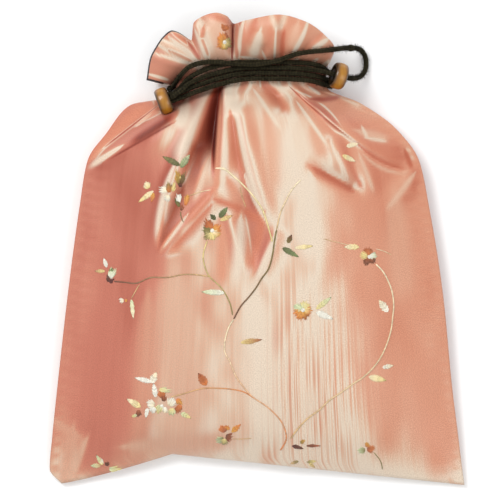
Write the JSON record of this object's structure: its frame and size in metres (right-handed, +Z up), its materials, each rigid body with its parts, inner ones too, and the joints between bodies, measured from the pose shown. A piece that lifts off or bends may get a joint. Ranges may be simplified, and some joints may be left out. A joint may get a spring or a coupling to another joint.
{
  "type": "silk drawstring pouch",
  "caption": "Lined silk drawstring travel pouch with an embroidered front, gathered neck, ruffled frill and corded wooden beads, drawn shut and lying on its back.",
  "frame": {"origin": "on the surface it lies on, under the middle of the pouch's outline", "axes": "+X to the right as seen from the embroidered front, +Y from the bottom seam to the frill, +Z up off the surface"},
  "size_m": [0.2799, 0.3189, 0.0538],
  "materials": {
    "silk": "shot silk, coral pink with an ivory sheen",
    "lining": "matte dark cloth",
    "cord": "matte black braid",
    "bead_wood": "polished amber wood"
  },
  "bodies": {
    "root": {"front_panel": "silk", "front_frill": "silk", "back_panel": "silk", "back_frill": "silk", "front_lining": "lining", "back_lining": "lining", "loop_cord": "cord", "neck_cord": "cord", "tail_cord_upper": "cord", "tail_cord_lower": "cord", "left_bead": "bead_wood", "right_bead": "bead_wood"}
  },
  "joints": []
}
